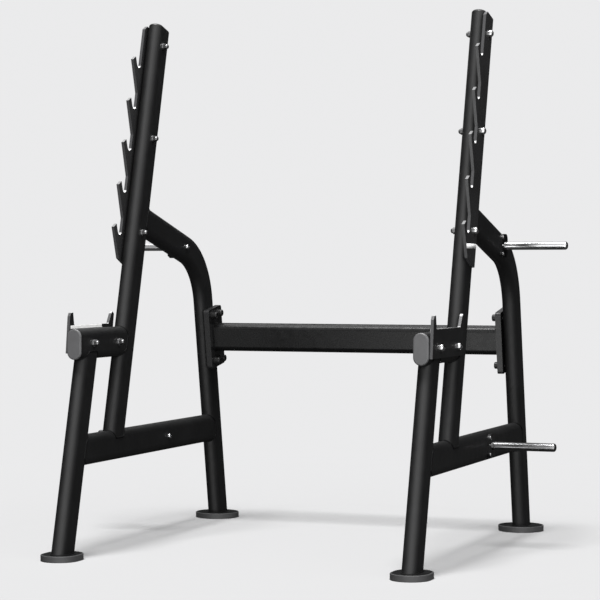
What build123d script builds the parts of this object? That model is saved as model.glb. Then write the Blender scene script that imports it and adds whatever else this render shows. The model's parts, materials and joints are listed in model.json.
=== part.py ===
from build123d import *
import os
from math import acos, atan2, cos, degrees, hypot, radians, sin, tan

# A free-standing squat rack: two side frames of flat-sided oval tube, a bolted crossbeam between
# their rear legs, five-position hook plates on the uprights, catch brackets on short front arms,
# and four chrome plate horns. X is the width, -Y the lifter's side, Z up. Every piece is drawn
# for the right-hand side frame and mirrored for the left. Millimetres.

# Side frames
FRAME_OFFSET = 585        # middle plane of each side frame, from the middle of the rack
TUBE_WIDE = 50            # oval tube, across its flats
TUBE_DEEP = 100           # oval tube, over its round edges
TUBE_WALL = 3
LEAN = 15                 # front leg and upright lean back, degrees
REAR_LEAN = 10            # rear leg leans forward, degrees
FRONT_LEG_FOOT = -637     # where each tube's axis meets the floor, in Y
UPRIGHT_FOOT = -361
REAR_LEG_FOOT = 641
BRACE_HEIGHT = 340        # axis of the lower brace
UPRIGHT_LENGTH = 1822     # tube end, from the floor along the upright's axis
UPRIGHT_CAP_FLANGE, UPRIGHT_CAP_ROUND = 13, 8
ARM_ALONG = 1141.5        # where the rear leg's arm meets the upright's axis
BEND_RADIUS = 230         # middle line of the rear leg's bend

# Catch arm
CATCH_HEIGHT = 685        # axis of the catch tube
CATCH_FRONT = -546        # front end of the catch tube, before its cap
CATCH_CAP_FLANGE, CATCH_CAP_ROUND = 6, 5
CAP_PLUG = 14
CAP_WALL = 3

# Feet
FOOT_HEIGHT = 20
FOOT_RIM = 4              # rubber left around the steel plate
FOOT_PLATE = 6
PLATE_TOP = 19            # the legs stand on the steel plates at this height
FRONT_FOOT_Y, FRONT_FOOT_WIDE, FRONT_FOOT_LONG = -636, 124, 152
REAR_FOOT_Y, REAR_FOOT_SIZE = 632, 160

# Hook plate, in lengths along the upright and behind its axis
PLATE_THICK = 10
EDGE_BREAK = 0.8
HOOK_COUNT = 5
HOOK_PITCH = 150
TOP_HOOK = 1677.5         # middle of the top slot's round bottom
SLOT_RADIUS = 16          # takes a 28 mm bar
SLOT_FORWARD = 76         # middle of the slots, in front of the upright's axis
TIP_UP, TIP_FORWARD = 14.5, 29        # rear corner of a tooth tip, from the slot's middle
TIP_FRONT_UP, TIP_FRONT_FORWARD = -1.5, 46
KNEE_DOWN = 103.5         # where a tooth's sloping front meets the straight edge
HOOK_PLATE_TOP, HOOK_PLATE_BOTTOM = 1825, 972
HOOK_PLATE_BACK = 25
HOOK_PLATE_FOOT_RISE, HOOK_PLATE_FOOT_BACK = 10, 0        # sloping front corner at the bottom
HOOK_PLATE_SLOPE_DOWN, HOOK_PLATE_SLOPE_BACK = 16, 17     # sloping front corner at the top
HOOK_BOLTS = [1763, 1425.5, 1088]
HOOK_BOLT_FORWARD = 4

# Catch bracket, in the side view (Y, Z)
CATCH_TROUGH = 745
CATCH_FRONT_PRONG = [(-541, 655), (-527, 775), (-520, 786), (-505, 787), (-498, CATCH_TROUGH)]
CATCH_REAR_PRONG = [(-243, CATCH_TROUGH), (-221, 779), (-213, 786), (-202, 777), (-224, 655)]
CATCH_CORNER = 6              # rounding where each prong meets the trough
CATCH_BOLTS = [(-456, 687), (-267, 685)]
STRIP_START, STRIP_END = -524, -300
STRIP_THICK, STRIP_TALL, STRIP_ROUND = 3, 11, 1

# Crossbeam and its flanges
BEAM_HEIGHT_ALONG = 688.5     # beam centre, along the rear leg's axis
BEAM_TALL, BEAM_DEEP, BEAM_WALL, BEAM_CORNER = 100, 60, 3, 20
FLANGE_WIDE, FLANGE_TALL, FLANGE_THICK, FLANGE_CORNER = 120, 218, 10, 10
FLANGE_BOLT_WIDE, FLANGE_BOLT_TALL = 50, 170

# Plate horns
HORN_RADIUS = 14
HORN_REACH = 225              # tip, from the outer flat of the tube
HORN_TIP_ROUND = 9
HORN_FLANGE_WIDE, HORN_FLANGE_TALL, HORN_FLANGE_THICK, HORN_FLANGE_CORNER = 70, 80, 8, 20
UPPER_HORN_ALONG_ARM = 371    # from the upright's axis, along the arm
LOWER_HORN_Y = 137
HORN_THREAD = 30
SCREW_FORWARD, SCREW_SPREAD = 24, 28

# Screws: thread diameter, head diameter, height and rounding, socket across flats, socket depth
M12_DOME = (12, 24, 13, 11, 6, 4)
M12_BUTTON = (12, 18, 8, 5, 8, 4)
M8_BUTTON = (8, 14, 4.4, 3.3, 5, 2.6)
M16_CAP = (16, 24, 16, 3.5, 14, 8)
NUT_FLATS, NUT_HEIGHT, NUT_DOME, NUT_DOME_RADIUS = 19, 10, 8, 8.6
NUT_THREAD = 13
M12_WASHER = (12, 25, 2.5)    # hole, diameter, thickness
M16_WASHER = (16, 30, 3)
HOLE_CLEARANCE = 1
M12_BORE = (M12_BUTTON[0] + HOLE_CLEARANCE) / 2     # radius of an M12 clearance hole

OUTER_FACE = FRAME_OFFSET + TUBE_WIDE / 2
INNER_FACE = FRAME_OFFSET - TUBE_WIDE / 2
FLANGE_JOINT = INNER_FACE - FLANGE_THICK
BEAM_END = FLANGE_JOINT - FLANGE_THICK


def along_tube(foot_y, lean, along, back):
    """Side-view point (Y, Z) beside a leaning tube: along its axis from the floor, then behind it."""
    tilt = radians(lean)
    return (foot_y + along * sin(tilt) + back * cos(tilt), along * cos(tilt) - back * sin(tilt))


def on_upright(along, back=0):
    return along_tube(UPRIGHT_FOOT, LEAN, along, back)


def on_rear_leg(along, back=0):
    return along_tube(REAR_LEG_FOOT, -REAR_LEAN, along, back)


def tube_plane(point, direction):
    """Plane across a tube of the right side frame: X across the flats, Z along the tube."""
    return Plane(origin=(FRAME_OFFSET, *point), x_dir=(1, 0, 0), z_dir=(0, *direction))


def tube_section(plane, inset=0):
    """The oval tube's section on a plane, or its bore when inset by the wall."""
    with BuildSketch(plane) as section:
        SlotOverall(TUBE_DEEP - 2 * inset, TUBE_WIDE - 2 * inset, rotation=90)
    return section.sketch


def solid_tube(plane, length):
    """The tube as if it were solid, for coping other tubes to its surface."""
    with BuildPart() as body:
        extrude(tube_section(plane), amount=length)
    return body.part


def rounded_plate(x, centre, wide, tall, corner, tilt, thickness):
    """Upright plate standing in the side view, starting at x and going to +X."""
    with BuildPart() as plate:
        with BuildSketch(Plane.YZ.offset(x)):
            with Locations(centre):
                RectangleRounded(wide, tall, corner, rotation=tilt)
        extrude(amount=thickness)
    return plate.part


def cross_holes(points, radius, start, end):
    """Cylinders along X through side-view points, for drilling."""
    with BuildPart() as drills:
        with BuildSketch(Plane.YZ.offset(start)):
            with Locations(*points):
                Circle(radius)
        extrude(amount=end - start)
    return drills.part


# Tube axes of the right side frame
LEAN_UP = (sin(radians(LEAN)), cos(radians(LEAN)))
LEAN_BACK = (cos(radians(LEAN)), -sin(radians(LEAN)))
REAR_UP = (-sin(radians(REAR_LEAN)), cos(radians(REAR_LEAN)))

# The rear leg: straight leg, bend and arm, the arm square to the upright
BEND_TURN = 90 - LEAN - REAR_LEAN
ARM_START = on_upright(ARM_ALONG)


def leg_meets_arm():
    """Length along the leg's axis and along the arm's axis to where the two lines cross."""
    gap_y, gap_z = ARM_START[0] - REAR_LEG_FOOT, ARM_START[1]
    cross = REAR_UP[0] * -LEAN_BACK[1] + REAR_UP[1] * LEAN_BACK[0]
    leg = (gap_y * -LEAN_BACK[1] + gap_z * LEAN_BACK[0]) / cross
    arm = (gap_z * REAR_UP[0] - gap_y * REAR_UP[1]) / cross
    return leg, arm


LEG_TO_CORNER, ARM_TO_CORNER = leg_meets_arm()
BEND_TANGENT = BEND_RADIUS * tan(radians(BEND_TURN / 2))
LEG_STRAIGHT = LEG_TO_CORNER - BEND_TANGENT
ARM_STRAIGHT = ARM_TO_CORNER - BEND_TANGENT
BEND_CENTRE = on_rear_leg(LEG_STRAIGHT, -BEND_RADIUS)

UPPER_HORN = on_upright(ARM_ALONG, UPPER_HORN_ALONG_ARM)
LOWER_HORN = (LOWER_HORN_Y, BRACE_HEIGHT)
HORNS = {"upper": UPPER_HORN, "lower": LOWER_HORN}

HOOK_CENTRES = [TOP_HOOK - i * HOOK_PITCH for i in range(HOOK_COUNT)]
HOOK_BOLT_POINTS = [on_upright(along, -HOOK_BOLT_FORWARD) for along in HOOK_BOLTS]
FLANGE_BOLT_POINTS = [
    on_rear_leg(BEAM_HEIGHT_ALONG + up * FLANGE_BOLT_TALL / 2, back * FLANGE_BOLT_WIDE / 2)
    for up in (-1, 1)
    for back in (-1, 1)
]

upright_plane = tube_plane((UPRIGHT_FOOT, 0), LEAN_UP)
front_leg_plane = tube_plane((FRONT_LEG_FOOT, 0), LEAN_UP)
rear_leg_plane = tube_plane((REAR_LEG_FOOT, 0), REAR_UP)
arm_plane = tube_plane(ARM_START, LEAN_BACK)
brace_plane = tube_plane((FRONT_LEG_FOOT, BRACE_HEIGHT), (1, 0))
catch_plane = tube_plane((CATCH_FRONT, CATCH_HEIGHT), (1, 0))

upright_solid = solid_tube(upright_plane, UPRIGHT_LENGTH)
front_leg_solid = solid_tube(front_leg_plane, CATCH_HEIGHT)
rear_leg_solid = solid_tube(rear_leg_plane, LEG_STRAIGHT)
brace_solid = solid_tube(brace_plane, REAR_LEG_FOOT - FRONT_LEG_FOOT)
catch_solid = solid_tube(catch_plane, -CATCH_FRONT)
floor_level = Plane.XY.offset(PLATE_TOP)


def hollow_tube(plane, length):
    """A straight oval tube with its bore open at both ends."""
    with BuildPart() as tube:
        extrude(tube_section(plane), amount=length)
        extrude(tube_section(plane, TUBE_WALL), amount=length, mode=Mode.SUBTRACT)
    return tube.part


def make_front_leg():
    with BuildPart() as leg:
        add(hollow_tube(front_leg_plane, CATCH_HEIGHT / cos(radians(LEAN))))
        split(bisect_by=floor_level, keep=Keep.TOP)
        add(catch_solid, mode=Mode.SUBTRACT)
    return leg


def make_upright():
    start = BRACE_HEIGHT / cos(radians(LEAN))
    with BuildPart() as upright:
        add(hollow_tube(upright_plane.offset(start), UPRIGHT_LENGTH - start))
        add(brace_solid, mode=Mode.SUBTRACT)
        add(
            cross_holes(HOOK_BOLT_POINTS, M12_BORE, INNER_FACE, OUTER_FACE),
            mode=Mode.SUBTRACT,
        )
    return upright


def make_rear_leg():
    """Straight leg, bend and arm, coped to the back of the upright."""
    bend_axis = Axis((FRAME_OFFSET, *BEND_CENTRE), (1, 0, 0))
    bend_plane = rear_leg_plane.offset(LEG_STRAIGHT)
    with BuildPart() as leg:
        for inset, mode in ((0, Mode.ADD), (TUBE_WALL, Mode.SUBTRACT)):
            extrude(tube_section(rear_leg_plane, inset), amount=LEG_STRAIGHT, mode=mode)
            revolve(tube_section(bend_plane, inset), axis=bend_axis, revolution_arc=BEND_TURN, mode=mode)
            extrude(tube_section(arm_plane, inset), amount=ARM_STRAIGHT, mode=mode)
        split(bisect_by=floor_level, keep=Keep.TOP)
        add(upright_solid, mode=Mode.SUBTRACT)
        add(
            cross_holes(FLANGE_BOLT_POINTS, (M16_CAP[0] + HOLE_CLEARANCE) / 2, INNER_FACE, FRAME_OFFSET),
            mode=Mode.SUBTRACT,
        )
        add(horn_drilling(UPPER_HORN), mode=Mode.SUBTRACT)
    return leg


def horn_screws_at(horn):
    return [(horn[0] - SCREW_FORWARD, horn[1] + up * SCREW_SPREAD) for up in (-1, 1)]


def horn_drilling(horn):
    """Through hole for a horn's bolt and tapped holes for its flange screws."""
    with BuildPart() as drills:
        add(cross_holes([horn], M12_BORE, INNER_FACE, OUTER_FACE))
        add(cross_holes(horn_screws_at(horn), M8_BUTTON[0] / 2, FRAME_OFFSET, OUTER_FACE))
    return drills.part


def make_lower_brace():
    with BuildPart() as brace:
        add(hollow_tube(brace_plane, REAR_LEG_FOOT - FRONT_LEG_FOOT))
        add(front_leg_solid, mode=Mode.SUBTRACT)
        add(rear_leg_solid, mode=Mode.SUBTRACT)
        # What stands past the two legs is cut away with them
        split(bisect_by=Plane.XZ.offset(-on_rear_leg(BRACE_HEIGHT)[0]), keep=Keep.TOP)
        front_end = FRONT_LEG_FOOT + BRACE_HEIGHT * tan(radians(LEAN))
        split(bisect_by=Plane.XZ.offset(-front_end), keep=Keep.BOTTOM)
        add(horn_drilling(LOWER_HORN), mode=Mode.SUBTRACT)
    return brace


def make_catch_tube():
    with BuildPart() as tube:
        add(hollow_tube(catch_plane, on_upright(CATCH_HEIGHT)[0] - CATCH_FRONT))
        add(upright_solid, mode=Mode.SUBTRACT)
        add(
            cross_holes(CATCH_BOLTS, M12_BORE, INNER_FACE, OUTER_FACE),
            mode=Mode.SUBTRACT,
        )
    return tube


def make_tube_cap(plane, flange, flange_round):
    """Moulded end cap: a flange as large as the tube and a hollow plug inside its bore."""
    with BuildPart() as cap:
        extrude(tube_section(plane), amount=flange)
        fillet(cap.faces().sort_by(Axis(plane.origin, plane.z_dir))[-1].edges(), flange_round)
        extrude(tube_section(plane, TUBE_WALL), amount=-CAP_PLUG)
        extrude(tube_section(plane, TUBE_WALL + CAP_WALL), amount=-CAP_PLUG, mode=Mode.SUBTRACT)
    return cap


def foot_outline(level, centre_y, wide, long, inset):
    """Oval or round outline of a foot on a level plane."""
    with BuildSketch(Plane.XY.offset(level)) as outline:
        with Locations((FRAME_OFFSET, centre_y)):
            if long > wide:
                SlotOverall(long - 2 * inset, wide - 2 * inset, rotation=90)
            else:
                Circle(wide / 2 - inset)
    return outline.sketch


def make_foot_plate(centre_y, wide, long):
    with BuildPart() as plate:
        extrude(foot_outline(PLATE_TOP - FOOT_PLATE, centre_y, wide, long, FOOT_RIM), amount=FOOT_PLATE)
    return plate


def make_foot_pad(centre_y, wide, long):
    """Rubber shoe with a shallow recess that holds the steel plate."""
    with BuildPart() as pad:
        extrude(foot_outline(0, centre_y, wide, long, 0), amount=FOOT_HEIGHT)
        fillet(pad.edges().filter_by_position(Axis.Z, FOOT_HEIGHT, FOOT_HEIGHT), 1.8)
        fillet(pad.edges().filter_by_position(Axis.Z, 0, 0), 1.2)
        extrude(
            foot_outline(PLATE_TOP - FOOT_PLATE, centre_y, wide, long, FOOT_RIM),
            amount=FOOT_PLATE + FOOT_HEIGHT,
            mode=Mode.SUBTRACT,
        )
    return pad


def make_hook_plate():
    """Saw-tooth plate: each slot has a round bottom, a wall behind it and a tooth in front."""
    front = SLOT_RADIUS - SLOT_FORWARD
    tip_angle = atan2(TIP_UP, TIP_FORWARD) - acos(SLOT_RADIUS / hypot(TIP_UP, TIP_FORWARD))
    lowest_knee = HOOK_PLATE_BOTTOM + HOOK_PLATE_FOOT_RISE
    with BuildPart() as plate:
        with BuildSketch(Plane.YZ.offset(OUTER_FACE)):
            with BuildLine():
                above = on_upright(HOOK_PLATE_TOP - HOOK_PLATE_SLOPE_DOWN, front)
                for centre in HOOK_CENTRES:
                    wall_end = on_upright(centre, front)
                    bottom = on_upright(centre - SLOT_RADIUS, -SLOT_FORWARD)
                    rise = on_upright(
                        centre + SLOT_RADIUS * sin(tip_angle),
                        -SLOT_FORWARD - SLOT_RADIUS * cos(tip_angle),
                    )
                    tip_rear = on_upright(centre + TIP_UP, -SLOT_FORWARD - TIP_FORWARD)
                    tip_front = on_upright(centre + TIP_FRONT_UP, -SLOT_FORWARD - TIP_FRONT_FORWARD)
                    knee = on_upright(max(centre - KNEE_DOWN, lowest_knee), front)
                    Line(above, wall_end)
                    ThreePointArc(wall_end, bottom, rise)
                    Polyline(rise, tip_rear, tip_front, knee)
                    above = knee
                Polyline(
                    knee,
                    on_upright(HOOK_PLATE_BOTTOM, HOOK_PLATE_FOOT_BACK),
                    on_upright(HOOK_PLATE_BOTTOM, HOOK_PLATE_BACK),
                    on_upright(HOOK_PLATE_TOP, HOOK_PLATE_BACK),
                    on_upright(HOOK_PLATE_TOP, front + HOOK_PLATE_SLOPE_BACK),
                    on_upright(HOOK_PLATE_TOP - HOOK_PLATE_SLOPE_DOWN, front),
                )
            make_face()
        extrude(amount=PLATE_THICK)
        chamfer(plate.faces().sort_by(Axis.X)[-1].edges(), EDGE_BREAK)
        add(
            cross_holes(HOOK_BOLT_POINTS, M12_BORE, OUTER_FACE, OUTER_FACE + PLATE_THICK),
            mode=Mode.SUBTRACT,
        )
    return plate


def make_catch_bracket():
    """Plate with a long trough between two prongs, to stop a dropped bar."""
    with BuildPart() as bracket:
        with BuildSketch(Plane.YZ.offset(OUTER_FACE)):
            with BuildLine():
                Polyline(*CATCH_FRONT_PRONG, *CATCH_REAR_PRONG, close=True)
            make_face()
        extrude(amount=PLATE_THICK)
        trough_corners = bracket.edges().filter_by(Axis.X).filter_by_position(
            Axis.Z, CATCH_TROUGH, CATCH_TROUGH
        )
        fillet(trough_corners, CATCH_CORNER)
        chamfer(bracket.faces().sort_by(Axis.X)[-1].edges(), EDGE_BREAK)
        add(
            cross_holes(CATCH_BOLTS, M12_BORE, OUTER_FACE, OUTER_FACE + PLATE_THICK),
            mode=Mode.SUBTRACT,
        )
    return bracket


def make_catch_strip():
    """Wear strip on the bracket's inner face, level with its trough."""
    with BuildPart() as strip:
        with BuildSketch(Plane.YZ.offset(OUTER_FACE)):
            with Locations((STRIP_START, CATCH_TROUGH)):
                Rectangle(STRIP_END - STRIP_START, STRIP_TALL, align=(Align.MIN, Align.MAX))
        extrude(amount=-STRIP_THICK)
        fillet(strip.faces().sort_by(Axis.X)[0].edges(), STRIP_ROUND)
    return strip


def socket_screw(face, point, size, length, outward):
    """Screw on the face at X = face; its head stands outward and its shank goes the other way."""
    thread, head_wide, head_tall, head_round, socket, socket_deep = size
    seat = Plane(origin=(face, *point), x_dir=(0, 0, 1), z_dir=(outward, 0, 0))
    with BuildPart() as bolt:
        with BuildSketch(seat):
            Circle(head_wide / 2)
        extrude(amount=head_tall)
        fillet(bolt.faces().sort_by(Axis(seat.origin, seat.z_dir))[-1].edges(), head_round)
        with BuildSketch(seat):
            Circle(thread / 2)
        extrude(amount=-length)
        with BuildSketch(seat.offset(head_tall)):
            RegularPolygon(socket / 2, 6, major_radius=False)
        extrude(amount=-socket_deep, mode=Mode.SUBTRACT)
    return bolt.part


def make_bolts(points, face, size, length, outward=1):
    """One node of equal screws."""
    with BuildPart() as bolts:
        for point in points:
            add(socket_screw(face, point, size, length, outward))
    return bolts


def make_washers(points, face, hole, wide, thickness):
    """Flat washers lying on the face at X = face, on its -X side."""
    with BuildPart() as washers:
        with BuildSketch(Plane.YZ.offset(face)):
            with Locations(*points):
                Circle(wide / 2)
                Circle(hole / 2, mode=Mode.SUBTRACT)
        extrude(amount=-thickness)
    return washers


def make_cap_nuts(points, face):
    """Domed hex nuts whose flat side sits at X = face, with the dome towards -X."""
    with BuildPart() as nuts:
        for point in points:
            seat = Plane(origin=(face, *point), x_dir=(0, 0, 1), z_dir=(-1, 0, 0))
            with BuildSketch(seat):
                RegularPolygon(NUT_FLATS / 2, 6, major_radius=False)
            extrude(amount=NUT_HEIGHT)
            with BuildSketch(seat.offset(NUT_HEIGHT)):
                Circle(NUT_DOME_RADIUS)
            extrude(amount=NUT_DOME)
        tip = face - NUT_HEIGHT - NUT_DOME
        fillet(nuts.edges().filter_by_position(Axis.X, tip, tip), NUT_DOME * 0.85)
        add(cross_holes(points, 6, face - NUT_THREAD, face), mode=Mode.SUBTRACT)
    return nuts


def make_flange(x, hole):
    """Bolting plate of the crossbeam joint, tilted with the rear leg."""
    centre = on_rear_leg(BEAM_HEIGHT_ALONG)
    with BuildPart() as flange:
        add(rounded_plate(x, centre, FLANGE_WIDE, FLANGE_TALL, FLANGE_CORNER, REAR_LEAN, FLANGE_THICK))
        add(cross_holes(FLANGE_BOLT_POINTS, hole / 2, x, x + FLANGE_THICK), mode=Mode.SUBTRACT)
    return flange


def make_horn(horn):
    """Plate horn: a round bar with a rounded tip and a tapped end."""
    base = OUTER_FACE + HORN_FLANGE_THICK
    with BuildPart() as bar:
        with BuildSketch(Plane.YZ.offset(base)):
            with Locations(horn):
                Circle(HORN_RADIUS)
        extrude(amount=HORN_REACH - HORN_FLANGE_THICK)
        fillet(bar.edges().sort_by(Axis.X)[-1], HORN_TIP_ROUND)
        add(cross_holes([horn], 6, base, base + HORN_THREAD), mode=Mode.SUBTRACT)
    return bar


def make_horn_flange(horn):
    size = (HORN_FLANGE_WIDE, HORN_FLANGE_TALL, HORN_FLANGE_CORNER, 0, HORN_FLANGE_THICK)
    end = OUTER_FACE + HORN_FLANGE_THICK
    with BuildPart() as flange:
        add(rounded_plate(OUTER_FACE, horn, *size))
        add(cross_holes([horn], 6, OUTER_FACE, end), mode=Mode.SUBTRACT)
        add(cross_holes(horn_screws_at(horn), M8_BUTTON[0] / 2, OUTER_FACE, end), mode=Mode.SUBTRACT)
    return flange


def make_crossbeam():
    """Rounded box section between the two bolting flanges, tilted with the rear legs."""
    with BuildPart() as beam:
        for inset, mode in ((0, Mode.ADD), (BEAM_WALL, Mode.SUBTRACT)):
            with BuildSketch(Plane.YZ.offset(-BEAM_END)):
                with Locations(on_rear_leg(BEAM_HEIGHT_ALONG)):
                    RectangleRounded(
                        BEAM_DEEP - 2 * inset, BEAM_TALL - 2 * inset, BEAM_CORNER - inset, rotation=REAR_LEAN
                    )
            extrude(amount=2 * BEAM_END, mode=mode)
    return beam


def save(name, piece):
    piece.part.label = name
    export_step(piece.part, f"parts/{name}.step")


def save_pair(name, piece):
    """Write the right-hand piece and its mirror image on the left."""
    save(f"right_{name}", piece)
    with BuildPart() as twin:
        mirror(piece.part, about=Plane.YZ)
    save(f"left_{name}", twin)


os.makedirs("parts", exist_ok=True)

# Tubes of the side frame
save_pair("front_leg", make_front_leg())
save_pair("upright", make_upright())
save_pair("rear_leg", make_rear_leg())
save_pair("lower_brace", make_lower_brace())
save_pair("catch_tube", make_catch_tube())
upright_top = upright_plane.offset(UPRIGHT_LENGTH)
save_pair("upright_cap", make_tube_cap(upright_top, UPRIGHT_CAP_FLANGE, UPRIGHT_CAP_ROUND))
catch_cap_plane = tube_plane((CATCH_FRONT, CATCH_HEIGHT), (-1, 0))
save_pair("catch_tube_cap", make_tube_cap(catch_cap_plane, CATCH_CAP_FLANGE, CATCH_CAP_ROUND))

# Feet
front_foot = (FRONT_FOOT_Y, FRONT_FOOT_WIDE, FRONT_FOOT_LONG)
rear_foot = (REAR_FOOT_Y, REAR_FOOT_SIZE, REAR_FOOT_SIZE)
save_pair("front_foot_plate", make_foot_plate(*front_foot))
save_pair("rear_foot_plate", make_foot_plate(*rear_foot))
save_pair("front_foot_pad", make_foot_pad(*front_foot))
save_pair("rear_foot_pad", make_foot_pad(*rear_foot))

# Hook plate, its bolts through the upright, and the nuts on the inner side
plate_face = OUTER_FACE + PLATE_THICK
nut_face = INNER_FACE - M12_WASHER[2]
through_length = plate_face - nut_face + NUT_THREAD
save_pair("hook_plate", make_hook_plate())
save_pair("hook_plate_bolts", make_bolts(HOOK_BOLT_POINTS, plate_face, M12_DOME, through_length))
save_pair("hook_plate_nuts", make_cap_nuts(HOOK_BOLT_POINTS, nut_face))

# Catch bracket, fastened the same way to the catch tube
save_pair("catch_bracket", make_catch_bracket())
save_pair("catch_strip", make_catch_strip())
save_pair("catch_bracket_bolts", make_bolts(CATCH_BOLTS, plate_face, M12_DOME, through_length))
save_pair("catch_bracket_nuts", make_cap_nuts(CATCH_BOLTS, nut_face))
save_pair("nut_washers", make_washers(HOOK_BOLT_POINTS + CATCH_BOLTS, INNER_FACE, *M12_WASHER))

# Crossbeam joint: the leg's plate is tapped, the beam's flange has clearance
washer_face = BEAM_END - M16_WASHER[2]
flange_bolt_length = 2 * FLANGE_THICK + M16_WASHER[2] + 12
save_pair("leg_mount_plate", make_flange(FLANGE_JOINT, M16_CAP[0]))
save_pair("beam_flange", make_flange(BEAM_END, M16_CAP[0] + HOLE_CLEARANCE))
save_pair("flange_washers", make_washers(FLANGE_BOLT_POINTS, BEAM_END, *M16_WASHER))
save_pair("flange_bolts", make_bolts(FLANGE_BOLT_POINTS, washer_face, M16_CAP, flange_bolt_length, -1))
save("crossbeam", make_crossbeam())

# Plate horns: a bolt through the tube holds each one, two screws stop its flange turning
horn_bolt_length = TUBE_WIDE + HORN_FLANGE_THICK + HORN_THREAD
screw_face = OUTER_FACE + HORN_FLANGE_THICK
for level, horn_point in HORNS.items():
    save_pair(f"{level}_horn", make_horn(horn_point))
    save_pair(f"{level}_horn_flange", make_horn_flange(horn_point))
horn_points = list(HORNS.values())
screw_points = [spot for horn_point in horn_points for spot in horn_screws_at(horn_point)]
save_pair("horn_bolts", make_bolts(horn_points, INNER_FACE, M12_BUTTON, horn_bolt_length, -1))
save_pair("horn_flange_screws", make_bolts(screw_points, screw_face, M8_BUTTON, HORN_FLANGE_THICK + 8))

print("rear leg's straight:", round(LEG_STRAIGHT, 1), "arm's straight:", round(ARM_STRAIGHT, 1))
for centre in HOOK_CENTRES:
    print("bar centre in a hook (Y, Z):", tuple(round(v, 1) for v in on_upright(centre, -SLOT_FORWARD)))
print("horns (Y, Z):", {k: tuple(round(v, 1) for v in h) for k, h in HORNS.items()})
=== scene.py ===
"""Finishes, weld beads, blank labels and a plain studio around the squat rack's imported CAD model."""
import json
from math import ceil, cos, pi, radians, sin

import bmesh
import bpy
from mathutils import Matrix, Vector
from mathutils.bvhtree import BVHTree

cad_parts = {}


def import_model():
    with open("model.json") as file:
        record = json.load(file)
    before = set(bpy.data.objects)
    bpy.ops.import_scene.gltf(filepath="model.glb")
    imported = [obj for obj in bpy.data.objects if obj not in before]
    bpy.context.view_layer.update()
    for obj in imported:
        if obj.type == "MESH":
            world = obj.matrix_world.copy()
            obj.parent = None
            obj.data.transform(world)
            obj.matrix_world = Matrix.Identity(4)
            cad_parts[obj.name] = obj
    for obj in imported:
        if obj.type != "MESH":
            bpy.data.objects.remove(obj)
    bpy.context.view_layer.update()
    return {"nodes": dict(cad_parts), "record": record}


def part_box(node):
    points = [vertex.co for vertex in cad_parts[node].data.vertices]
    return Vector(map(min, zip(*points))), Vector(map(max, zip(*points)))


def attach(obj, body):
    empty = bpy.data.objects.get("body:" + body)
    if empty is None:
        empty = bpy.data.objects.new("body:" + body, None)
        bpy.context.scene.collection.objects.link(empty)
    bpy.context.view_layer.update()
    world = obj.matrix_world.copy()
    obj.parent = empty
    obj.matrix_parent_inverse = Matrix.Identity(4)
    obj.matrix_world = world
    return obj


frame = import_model()
nodes = frame["nodes"]
scene = bpy.context.scene

SIDES = ("right", "left")
MM = 0.001
TINY = 0.01 * MM              # points this near to each other are one point

# Camera, in metres and degrees
CAMERA_PLACE = (2.532, -6.7175, 0.9339)
CAMERA_TURN = 20.76           # to the left of +Y
CAMERA_DIP = 0.88             # below level
CAMERA_LENS = 128             # on a 36 mm sensor
CAMERA_REACH = 100

# Studio, in metres
BACKGROUND = (0.829, 0.829, 0.836)
SUN_STRENGTH = 4.6
SUN_WIDTH = radians(27)       # how soft the shadows under the rack are
SUN_FORWARD = radians(17)     # from straight above towards the front
DOME_FROM, DOME_FULL = 0.10, 0.30             # sines of the heights where its light sets in and is full
DOME_FRONT = (0.42, -0.907, 0)                # towards its brightest side
DOME_STRENGTH = 1.1
FLOOR_HALF = 30               # from its middle to each side
FLOOR_SHADE = (0.524, 0.524, 0.5282)          # brings the lit floor to the backdrop's brightness
FLOOR_ROUGH = 0.9
FLOOR_UNSEEN = (0.03, 0.03, 0.03)             # what light and reflections find instead
FLOOR_FADE_FROM, FLOOR_FADE_TO = 1.2, 3.2     # from the origin: it turns into backdrop between these

# Softboxes: name, place, aim, width and height in metres, watts, whether reflections show it
SOFTBOXES = (
    ("key", (2.1, -4.4, 0.4), (0, 0, 0.4), 7.0, 5.6, 156, True),
    ("low_front", (0.8, -5.0, -1.7), (0.3, 0.6, 0.7), 5.0, 2.2, 34, True),
    ("front_left", (-2.4, -5.4, -0.6), (0, 0.5, 0.6), 3.2, 3.2, 13, True),
    ("ceiling", (0, 0.3, 4.2), (0, 0, 0), 5.0, 4.0, 75, True),
    ("side", (4.2, 0.3, 4.8), (0, 0, 1.0), 2.0, 2.0, 260, False),
    ("back", (-2.2, 4.4, 4.4), (0, 0.5, 0.8), 6.0, 2.8, 50, True),
)

# Colours. Most finishes drift between two shades.
BLACK = (0.0040, 0.0041, 0.0043), (0.0062, 0.0063, 0.0066)
FOOT_BLACK = BLACK[0], (0.0085, 0.0085, 0.0088)
WELD_BLACK = (0.0025, 0.0025, 0.0025), BLACK[0]
HOOK_BLACK = (0.017, 0.017, 0.0174), (0.022, 0.022, 0.0225)
BRACKET_BLACK = (0.006, 0.006, 0.0063), (0.010, 0.010, 0.0104)
OXIDE_BLACK = (0.012, 0.012, 0.012), (0.018, 0.018, 0.018)
CAP_BLACK = (0.008, 0.008, 0.008), (0.012, 0.012, 0.012)
CAP_GREY = (0.088, 0.088, 0.090), (0.104, 0.104, 0.107)
RUBBER = (0.040, 0.040, 0.041), (0.050, 0.050, 0.051)
PALE_STRIP = (0.76, 0.76, 0.75), (0.86, 0.86, 0.85)
WHITE_VINYL = (0.84, 0.84, 0.84), (0.88, 0.88, 0.88)
CHROME = (0.90, 0.90, 0.905), (0.78, 0.785, 0.795)
# painted shade: a darker copy of the chrome for the lower horns, which sit in less light
CHROME_PAINTED_SHADE = (0.34, 0.34, 0.343), (0.25, 0.25, 0.253)
ZINC = (0.28, 0.28, 0.283), (0.20, 0.20, 0.203)
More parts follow.
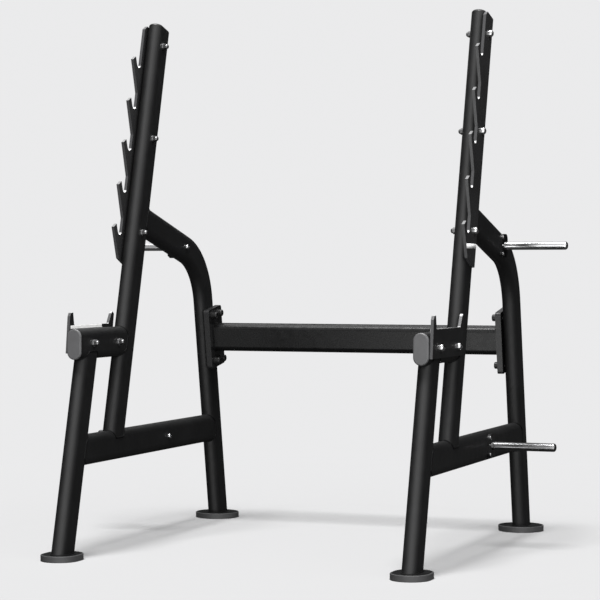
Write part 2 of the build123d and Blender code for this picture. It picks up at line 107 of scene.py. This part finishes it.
# painted highlight: the pale bare-steel colour laid on upward-facing plate edges that the light from above
# catches
PAINTED_HIGHLIGHT_STEEL = (0.80, 0.80, 0.805)
CUT_EDGE = (0.060, 0.060, 0.062)      # paler colour on the cut edges of the plates
FLANGE_EDGE = (0.022, 0.022, 0.0226)

# Textures, in features per metre
MOTTLE, GLOSS_PATCHES, ORANGE_PEEL = 9, 38, 750       # powder coat
SWIRLS, SHEEN_PATCHES, MATT_GRAIN = 24, 110, 1300     # moulded plastic
CLOUDS, RUB_MARKS = 30, 420                           # plating
# patches in the painted highlight on the plates' upward edges
HIGHLIGHT_PATCHES = 60
ALONG_BAR = (0.06, 1, 1)      # share of them along each axis: rub marks drawn out along X

# Painted highlights on the plates' upward-facing edges, in the colour of bare steel where the light from
# above catches them
LEAN = radians(15)            # of the hook plates
SLOTS_WITHIN, TIPS_WITHIN = 62.2 * MM, 24.7 * MM      # of a hook plate's foremost points
SLOT_FADE, TIP_FADE = 2 * MM, 5 * MM
# strength of the painted highlight on the tooth tips
TIP_HIGHLIGHT = 0.16
PRONGS_WITHIN = 11 * MM       # of a catch bracket's highest points
PRONG_FADE = 2 * MM
# strength of the painted highlight on the prongs
PRONG_HIGHLIGHT = 0.55
HIGHLIGHT_LEAST = 0.75             # strength of the painted highlight between the patches

# How far a face looks sideways or up, from 0 to 1
EDGE_SIDEWAYS, PLATE_SIDEWAYS = 0.25, 0.75            # a cut edge, and a plate's broad face
SLOPING_UP, LEVEL_UP = 0.96, 0.99
HIGHLIGHT_FADE = 0.2                # from where the painted highlight on an edge sets in to where it is full

# Weld beads
BEAD_RADIUS = 3.2 * MM
BEAD_STEP = 1.6 * MM          # distance between rings of the bead's mesh
BEAD_SIDES = 10
RIPPLE = 5.5 * MM             # distance between ripples
RIPPLE_LOW, RIPPLE_RISE = 0.9, 0.14           # radius between ripples and its rise on them, in bead radii
SWELL, SWELL_PACE = 0.05, 1.7                 # slower change of the radius
TOUCHING = 1.2 * MM           # from the seam to the neighbour's surface, at most
SHARP = radians(12)           # turn across the seam, at least

# Blank labels on the hook plates
LABEL_ABOVE_PLATE = 62 * MM   # label's lower edge, above the hook plate's lowest point
LABEL_TALL = 15 * MM
LABEL_THICK = 0.25 * MM
LABEL_MARGIN = 0.6 * MM       # from the plate's front and back edges
FLAT = radians(1)             # faces that turn less than this are joined into one


# ---------------------------------------------------------------- shader helpers

def new_material(name):
    """A material with a bare Principled shader, its node tree and that shader."""
    material = bpy.data.materials.new(name)
    material.use_nodes = True
    tree = material.node_tree
    tree.nodes.clear()
    shader = tree.nodes.new("ShaderNodeBsdfPrincipled")
    output = tree.nodes.new("ShaderNodeOutputMaterial")
    tree.links.new(shader.outputs["BSDF"], output.inputs["Surface"])
    return material, tree, shader


def coordinates(tree, kind):
    return tree.nodes.new("ShaderNodeTexCoord").outputs[kind]


def split(tree, vector):
    """The X, Y and Z of a vector."""
    parts = tree.nodes.new("ShaderNodeSeparateXYZ")
    tree.links.new(vector, parts.inputs["Vector"])
    return parts.outputs


def calculate(tree, operation, *values):
    """A Math node's result."""
    node = tree.nodes.new("ShaderNodeMath")
    node.operation = operation
    for value, socket in zip(values, node.inputs):
        tree.links.new(value, socket)
    return node.outputs["Value"]


def how_far(tree, place, direction):
    """How far a place lies along a direction."""
    node = tree.nodes.new("ShaderNodeVectorMath")
    node.operation = "DOT_PRODUCT"
    node.inputs[1].default_value = direction
    tree.links.new(place, node.inputs[0])
    return node.outputs["Value"]


def noise(tree, scale, detail=3.0, share=(1, 1, 1)):
    """Noise over the object's own coordinates: features per metre, and the share of them along each axis."""
    mapping = tree.nodes.new("ShaderNodeMapping")
    mapping.inputs["Scale"].default_value = share
    texture = tree.nodes.new("ShaderNodeTexNoise")
    texture.inputs["Scale"].default_value = scale
    texture.inputs["Detail"].default_value = detail
    tree.links.new(coordinates(tree, "Object"), mapping.inputs["Vector"])
    tree.links.new(mapping.outputs["Vector"], texture.inputs["Vector"])
    return texture.outputs["Fac"]


def spread(tree, value, low, high, from_low=0.3, from_high=0.7):
    """Remap a value from the range from_low to from_high, where most noise lies, to low to high."""
    remap = tree.nodes.new("ShaderNodeMapRange")
    for name, number in (("From Min", from_low), ("From Max", from_high), ("To Min", low), ("To Max", high)):
        remap.inputs[name].default_value = number
    tree.links.new(value, remap.inputs["Value"])
    return remap.outputs["Result"]


def blend_colours(tree, factor, first, second):
    """Mix two colours; each is a tuple or a socket."""
    mix = tree.nodes.new("ShaderNodeMix")
    mix.data_type = "RGBA"
    tree.links.new(factor, mix.inputs["Factor"])
    for socket, colour in ((mix.inputs[6], first), (mix.inputs[7], second)):
        if isinstance(colour, tuple):
            socket.default_value = (*colour, 1)
        else:
            tree.links.new(colour, socket)
    return mix.outputs[2]


def mix_shaders(tree, factor, first, second):
    mix = tree.nodes.new("ShaderNodeMixShader")
    for value, socket in zip((factor, first, second), mix.inputs):
        tree.links.new(value, socket)
    return mix.outputs["Shader"]


def seen_or_not(tree, seen, unseen):
    """One shader for what the camera sees directly, and another for light and reflections."""
    rays = tree.nodes.new("ShaderNodeLightPath")
    return mix_shaders(tree, rays.outputs["Is Camera Ray"], unseen, seen)


def mottled(tree, scale, detail, shades):
    """A colour that drifts between two shades in soft patches."""
    return blend_colours(tree, spread(tree, noise(tree, scale, detail), 0, 1), *shades)


def roughen(tree, shader, pattern, rough, less, more):
    """Roughness that follows a pattern, from rough - less to rough + more."""
    tree.links.new(spread(tree, pattern, rough - less, rough + more), shader.inputs["Roughness"])


def bump(tree, shader, height, distance, strength=1.0):
    node = tree.nodes.new("ShaderNodeBump")
    node.inputs["Distance"].default_value = distance
    node.inputs["Strength"].default_value = strength
    tree.links.new(height, node.inputs["Height"])
    tree.links.new(node.outputs["Normal"], shader.inputs["Normal"])


def facing(tree):
    """How far a face looks to either side (0 to 1), and how far it looks up (-1 to 1)."""
    normal = split(tree, coordinates(tree, "Normal"))
    return calculate(tree, "ABSOLUTE", normal["X"]), normal["Z"]


# ---------------------------------------------------------------- finishes

def powder_coat(name, shades, rough, grain=0.06 * MM, gloss=0.5):
    """Satin powder coat: slight mottling, uneven gloss and a fine orange-peel surface."""
    material, tree, shader = new_material(name)
    shader.inputs["Specular IOR Level"].default_value = gloss
    tree.links.new(mottled(tree, MOTTLE, 4, shades), shader.inputs["Base Color"])
    roughen(tree, shader, noise(tree, GLOSS_PATCHES), rough, less=0.04, more=0.05)
    bump(tree, shader, noise(tree, ORANGE_PEEL, 2), grain)
    return material


def moulded_plastic(name, shades, rough, grain=0.05 * MM):
    """Moulded plastic or rubber with a fine matt grain."""
    material, tree, shader = new_material(name)
    tree.links.new(mottled(tree, SWIRLS, 5, shades), shader.inputs["Base Color"])
    roughen(tree, shader, noise(tree, SHEEN_PATCHES, 2), rough, less=0.05, more=0.06)
    bump(tree, shader, noise(tree, MATT_GRAIN, 2), grain)
    return material


def plated_metal(name, shades, rough, grain=0.01 * MM, share=(1, 1, 1)):
    """Plating with faint cloudy patches and fine rub marks."""
    material, tree, shader = new_material(name)
    shader.inputs["Metallic"].default_value = 1.0
    tree.links.new(mottled(tree, CLOUDS, 4, shades), shader.inputs["Base Color"])
    marks = noise(tree, RUB_MARKS, 4, share)
    roughen(tree, shader, marks, rough, less=0.03, more=0.08)
    bump(tree, shader, marks, grain, strength=0.6)
    return material


def in_slots(tree):
    """Where a hook plate gets its painted highlight: 1 in the slots, less on the tips of its teeth, 0 on the
    rest of the plate.
    """
    forward = Vector((0, -cos(LEAN), sin(LEAN)))
    foremost = max(forward.dot(v.co) for v in nodes["right_hook_plate"].data.vertices)
    slots_from, tips_from = foremost - SLOTS_WITHIN, foremost - TIPS_WITHIN
    place = how_far(tree, coordinates(tree, "Object"), forward)
    slots = spread(tree, place, 0, 1, slots_from, slots_from + SLOT_FADE)
    tips = spread(tree, place, 1, TIP_HIGHLIGHT, tips_from, tips_from + TIP_FADE)
    return calculate(tree, "MULTIPLY", slots, tips)


def on_prongs(tree):
    """Painted highlight on the prongs of a catch bracket and in the corners below them, 0 on the level
    trough.
    """
    prongs_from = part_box("right_catch_bracket")[1].z - PRONGS_WITHIN
    height = split(tree, coordinates(tree, "Object"))["Z"]
    high = spread(tree, height, 0, PRONG_HIGHLIGHT, prongs_from, prongs_from + PRONG_FADE)
    corner = spread(tree, facing(tree)[1], PRONG_HIGHLIGHT, 0, SLOPING_UP, LEVEL_UP)
    return calculate(tree, "MAXIMUM", high, corner)


def plate_coat(name, shades, edge, rough, grain=0.02 * MM, highlight_places=None, highlight_from=0.40):
    """
    Coated plate, paler on its cut edges. Where the optional place function says so, edges that look up by
    more than the given threshold get a painted highlight in the colour of bare steel, for the light from
    above that catches them.
    """
    material, tree, shader = new_material(name)
    sideways, upward = facing(tree)
    cut = spread(tree, sideways, 1, 0, EDGE_SIDEWAYS, PLATE_SIDEWAYS)
    colour = blend_colours(tree, cut, mottled(tree, MOTTLE, 4, shades), edge)
    if highlight_places:
        # painted highlight: upward-facing cut edges are painted pale like bare steel, where the light from
        # above catches them
        upward_edges = calculate(tree, "MULTIPLY", spread(tree, upward, 0, 1, highlight_from, highlight_from + HIGHLIGHT_FADE), cut)
        patches = spread(tree, noise(tree, HIGHLIGHT_PATCHES), HIGHLIGHT_LEAST, 1)
        patchy = calculate(tree, "MULTIPLY", upward_edges, patches)
        colour = blend_colours(tree, calculate(tree, "MULTIPLY", patchy, highlight_places(tree)), colour, PAINTED_HIGHLIGHT_STEEL)
    tree.links.new(colour, shader.inputs["Base Color"])
    roughen(tree, shader, noise(tree, GLOSS_PATCHES), rough, less=0.03, more=0.04)
    bump(tree, shader, noise(tree, ORANGE_PEEL, 2), grain)
    return material


FINISHES = {
    "tube_coat": powder_coat("tube_powder_coat", BLACK, rough=0.52, grain=0.03 * MM),
    "plate_coat": powder_coat("plate_powder_coat", BLACK, rough=0.26, grain=0.02 * MM),
    "foot_steel": powder_coat("foot_plate_coat", FOOT_BLACK, rough=0.45, gloss=0.1),
    "cap_plastic": moulded_plastic("cap_grey_plastic", CAP_GREY, rough=0.34),
    "cap_black": moulded_plastic("cap_black_plastic", CAP_BLACK, rough=0.40),
    "foot_rubber": moulded_plastic("foot_black_rubber", RUBBER, rough=0.55),
    "wear_strip": moulded_plastic("strip_pale_plastic", PALE_STRIP, rough=0.38),
    "fastener_chrome": plated_metal("fastener_plating", CHROME, rough=0.16),
    "fastener_black": powder_coat("fastener_black_oxide", OXIDE_BLACK, rough=0.24, grain=0.01 * MM),
    "horn_chrome": plated_metal("horn_chrome_plating", CHROME, rough=0.12, share=ALONG_BAR),
}
# Painted highlights on the upward-facing edges of the hook plates and catch brackets
HOOK_FINISH = plate_coat("hook_plate_coat_painted_highlight", HOOK_BLACK, CUT_EDGE, rough=0.20, highlight_places=in_slots)
BRACKET_FINISH = plate_coat(
    "bracket_coat_painted_highlight", BRACKET_BLACK, CUT_EDGE, rough=0.40, highlight_places=on_prongs, highlight_from=0.56
)
BEAM_FINISH = powder_coat("beam_powder_coat", BLACK, rough=0.26, grain=0.006 * MM)
FLANGE_FINISH = plate_coat("flange_coat", BLACK, FLANGE_EDGE, rough=0.26)
NUT_FINISH = plated_metal("nut_zinc_plating", ZINC, rough=0.30)
# painted shade: the lower horns are the same chrome as the upper ones, darkened
LOWER_HORN_PAINTED_SHADE = plated_metal("lower_horn_painted_shade_plating", CHROME_PAINTED_SHADE, rough=0.18, share=ALONG_BAR)
WELD_FINISH = powder_coat("weld_powder_coat", WELD_BLACK, rough=0.62, gloss=0.15)
LABEL_FINISH = moulded_plastic("label_white_vinyl", WHITE_VINYL, rough=0.35)

# Pieces that look a little different from the rest of their material slot
OWN_LOOKS = {
    "hook_plate": HOOK_FINISH,
    "hook_plate_nuts": NUT_FINISH,
    "catch_bracket": BRACKET_FINISH,
    "catch_bracket_nuts": NUT_FINISH,
    "crossbeam": BEAM_FINISH,
    "leg_mount_plate": FLANGE_FINISH,
    "beam_flange": FLANGE_FINISH,
    "horn_flange_screws": NUT_FINISH,
    # painted shade on the lower horns
    "lower_horn": LOWER_HORN_PAINTED_SHADE,
}


def finish_cad_nodes():
    """Give every CAD node its own look, or else the finish of its material slot."""
    for row in frame["record"]["subparts"]:
        piece = row["node"].removeprefix("right_").removeprefix("left_")
        mesh = nodes[row["node"]].data
        mesh.materials.clear()
        mesh.materials.append(OWN_LOOKS.get(piece, FINISHES[row["material_slot"]]))
        # The bright horns would smear long glows over the black tubes beside them
        nodes[row["node"]].visible_glossy = not piece.endswith("_horn")


# ---------------------------------------------------------------- added pieces

def mesh_piece(name, bm, material):
    """Turn a bmesh into a finished piece that rides on the rack."""
    bmesh.ops.recalc_face_normals(bm, faces=bm.faces)
    mesh = bpy.data.meshes.new(name)
    bm.to_mesh(mesh)
    bm.free()
    mesh.materials.append(material)
    piece = bpy.data.objects.new(name, mesh)
    scene.collection.objects.link(piece)
    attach(piece, "root")
    return piece


def merged_copy(node):
    """The node's mesh with the vertices that its shading split joined again."""
    bm = bmesh.new()
    bm.from_mesh(nodes[node].data)
    bmesh.ops.remove_doubles(bm, verts=bm.verts, dist=TINY)
    return bm


def seam_loops(node, neighbour):
    """Closed lines along node's sharp edges that lie on the neighbour's surface."""
    bm, other = merged_copy(node), merged_copy(neighbour)
    surface = BVHTree.FromBMesh(other)
    on_seam = {v for v in bm.verts if surface.find_nearest(v.co, TOUCHING)[0] is not None}
    # A list, because a set's order would start the beads at different points in each run
    seam = [
        e for e in bm.edges
        if len(e.link_faces) == 2 and e.calc_face_angle(0) > SHARP and on_seam.issuperset(e.verts)
    ]
    loops = []
    while seam:
        line = list(seam.pop().verts)
        while (following := next((e for e in line[-1].link_edges if e in seam), None)) is not None:
            seam.remove(following)
            line.append(following.other_vert(line[-1]))
        if line[0] == line[-1]:
            loops.append([v.co.copy() for v in line[:-1]])
    bm.free()
    other.free()
    return loops


def loop_length(points):
    return sum((b - a).length for a, b in zip(points, points[1:] + points[:1]))


def even_points(points, step):
    """The closed line divided into equal steps of about this length."""
    total = loop_length(points)
    count = ceil(total / step)
    spaced, travelled, index = [], 0.0, 0
    corners = points + points[:1]
    for i in range(count):
        target = total * i / count
        while travelled + (corners[index + 1] - corners[index]).length < target:
            travelled += (corners[index + 1] - corners[index]).length
            index += 1
        start, end = corners[index], corners[index + 1]
        spaced.append(start.lerp(end, (target - travelled) / max((end - start).length, TINY)))
    return spaced


def weld(name, node, neighbour):
    """A rippled bead along the outer seam where node meets neighbour."""
    outer = max(seam_loops(node, neighbour), key=loop_length)
    path = even_points(outer, BEAD_STEP)
    count = len(path)
    middle = sum(path, Vector()) / count
    bm = bmesh.new()
    rings = []
    for i, point in enumerate(path):
        along = (path[(i + 1) % count] - path[i - 1]).normalized()
        across = (point - middle).cross(along).normalized()
        outward = along.cross(across)
        phase = i * BEAD_STEP / RIPPLE
        ripples = RIPPLE_LOW + RIPPLE_RISE * abs(sin(pi * phase)) + SWELL * sin(SWELL_PACE * phase)
        rings.append([
            bm.verts.new(point + BEAD_RADIUS * ripples * (cos(turn) * outward + sin(turn) * across))
            for turn in (2 * pi * k / BEAD_SIDES for k in range(BEAD_SIDES))
        ])
    for ring, following in zip(rings, rings[1:] + rings[:1]):
        for k in range(BEAD_SIDES):
            j = (k + 1) % BEAD_SIDES
            bm.faces.new((ring[k], ring[j], following[j], following[k])).smooth = True
    return mesh_piece(name, bm, WELD_FINISH)


def label(side):
    """A blank band across the outer face of a hook plate."""
    plate = f"{side}_hook_plate"
    low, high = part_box(plate)
    outer, outward = (high.x, 1) if side == "right" else (low.x, -1)
    bottom = low.z + LABEL_ABOVE_PLATE
    bm = merged_copy(plate)
    for level, up in ((bottom, 1), (bottom + LABEL_TALL, -1)):
        everything = bm.verts[:] + bm.edges[:] + bm.faces[:]
        bmesh.ops.bisect_plane(
            bm, geom=everything, plane_co=(0, 0, level), plane_no=(0, 0, up), clear_inner=True
        )
    others = [f for f in bm.faces if abs(f.calc_center_median().x - outer) > TINY]
    bmesh.ops.delete(bm, geom=others, context="FACES")
    bmesh.ops.dissolve_limit(bm, angle_limit=FLAT, verts=bm.verts, edges=bm.edges)
    middle = sum((v.co for v in bm.verts), Vector()) / len(bm.verts)
    for vert in bm.verts:
        vert.co.y += LABEL_MARGIN if vert.co.y < middle.y else -LABEL_MARGIN
    sheet = bmesh.ops.extrude_face_region(bm, geom=bm.faces[:])
    lifted = [v for v in sheet["geom"] if isinstance(v, bmesh.types.BMVert)]
    bmesh.ops.translate(bm, verts=lifted, vec=(outward * LABEL_THICK, 0, 0))
    return mesh_piece(f"{side}_label", bm, LABEL_FINISH)


def build_welds():
    seams = (
        ("front_leg", "catch_tube"), ("catch_tube", "upright"), ("upright", "lower_brace"),
        ("lower_brace", "front_leg"), ("lower_brace", "rear_leg"), ("rear_leg", "upright"),
        ("front_leg", "front_foot_plate"), ("rear_leg", "rear_foot_plate"),
    )
    for side in SIDES:
        for node, neighbour in seams:
            weld(f"{side}_weld_{node}_to_{neighbour}", f"{side}_{node}", f"{side}_{neighbour}")
        weld(f"{side}_weld_crossbeam_to_flange", "crossbeam", f"{side}_beam_flange")


# ---------------------------------------------------------------- studio

def camera():
    data = bpy.data.cameras.new("camera")
    data.lens = CAMERA_LENS
    data.clip_end = CAMERA_REACH
    eye = bpy.data.objects.new("camera", data)
    eye.location = CAMERA_PLACE
    eye.rotation_euler = (radians(90 - CAMERA_DIP), 0, radians(CAMERA_TURN))
    scene.collection.objects.link(eye)
    scene.camera = eye


def softbox(name, place, aim, width, height, watts, glossy, lit):
    """A rectangular light. What the collection lit leaves out isn't lit by it and casts no shadow in it."""
    data = bpy.data.lights.new(name, "AREA")
    data.shape = "RECTANGLE"
    data.size, data.size_y = width, height
    data.energy = watts
    box = bpy.data.objects.new(name, data)
    box.location = place
    box.rotation_euler = (Vector(aim) - Vector(place)).to_track_quat("-Z", "Y").to_euler()
    box.visible_camera = False
    box.visible_glossy = glossy
    box.light_linking.receiver_collection = lit
    box.light_linking.blocker_collection = lit
    scene.collection.objects.link(box)


def overhead():
    """A wide soft light nearly straight above, the only lamp that lights the floor."""
    data = bpy.data.lights.new("overhead", "SUN")
    data.energy = SUN_STRENGTH
    data.angle = SUN_WIDTH
    sun = bpy.data.objects.new("overhead", data)
    sun.rotation_euler = (SUN_FORWARD, 0, 0)
    scene.collection.objects.link(sun)


def everything_but(stage):
    """A collection for light linking that leaves one object out."""
    group = bpy.data.collections.new("everything_but_" + stage.name)
    group.objects.link(stage)
    group.collection_objects[0].light_linking.link_state = "EXCLUDE"
    return group


def world():
    """An even pale backdrop to look at. The rack itself is lit by a dome: dark low down, bright in front."""
    surroundings = bpy.data.worlds.new("studio")
    surroundings.use_nodes = True
    tree = surroundings.node_tree
    tree.nodes.clear()
    direction = coordinates(tree, "Generated")
    height = spread(tree, split(tree, direction)["Z"], 0, 1, DOME_FROM, DOME_FULL)
    front = spread(tree, how_far(tree, direction, DOME_FRONT), 0, DOME_STRENGTH, 0, 1)
    backdrop, dome = (tree.nodes.new("ShaderNodeBackground") for _ in range(2))
    backdrop.inputs["Color"].default_value = (*BACKGROUND, 1)
    tree.links.new(calculate(tree, "MULTIPLY", height, front), dome.inputs["Strength"])
    output = tree.nodes.new("ShaderNodeOutputWorld")
    both = seen_or_not(tree, backdrop.outputs["Background"], dome.outputs["Background"])
    tree.links.new(both, output.inputs["Surface"])
    scene.world = surroundings


def floor_finish():
    """Pale and matt under the rack, fading into the backdrop. Light and reflections find it dark."""
    material, tree, shader = new_material("floor_pale")
    shader.inputs["Base Color"].default_value = (*FLOOR_SHADE, 1)
    shader.inputs["Roughness"].default_value = FLOOR_ROUGH
    shader.inputs["Specular IOR Level"].default_value = 0.0
    backdrop = tree.nodes.new("ShaderNodeEmission")
    backdrop.inputs["Color"].default_value = (*BACKGROUND, 1)
    dark = tree.nodes.new("ShaderNodeBsdfDiffuse")
    dark.inputs["Color"].default_value = (*FLOOR_UNSEEN, 1)
    distance = tree.nodes.new("ShaderNodeVectorMath")
    distance.operation = "LENGTH"
    tree.links.new(coordinates(tree, "Object"), distance.inputs[0])
    fade = spread(tree, distance.outputs["Value"], 0, 1, FLOOR_FADE_FROM, FLOOR_FADE_TO)
    pale = mix_shaders(tree, fade, shader.outputs["BSDF"], backdrop.outputs["Emission"])
    both = seen_or_not(tree, pale, dark.outputs["BSDF"])
    output = next(n for n in tree.nodes if n.type == "OUTPUT_MATERIAL")
    tree.links.new(both, output.inputs["Surface"])
    return material


def floor():
    """A wide level sheet for the rack to stand on."""
    corners = ((-1, -1), (1, -1), (1, 1), (-1, 1))
    mesh = bpy.data.meshes.new("floor")
    mesh.from_pydata([(x * FLOOR_HALF, y * FLOOR_HALF, 0) for x, y in corners], [], [(0, 1, 2, 3)])
    mesh.materials.append(floor_finish())
    ground = bpy.data.objects.new("floor", mesh)
    scene.collection.objects.link(ground)
    return ground


camera()
finish_cad_nodes()
build_welds()
for side in SIDES:
    label(side)
rack_only = everything_but(floor())
world()
overhead()
for light in SOFTBOXES:
    softbox(*light, rack_only)
scene.view_settings.view_transform = "Standard"
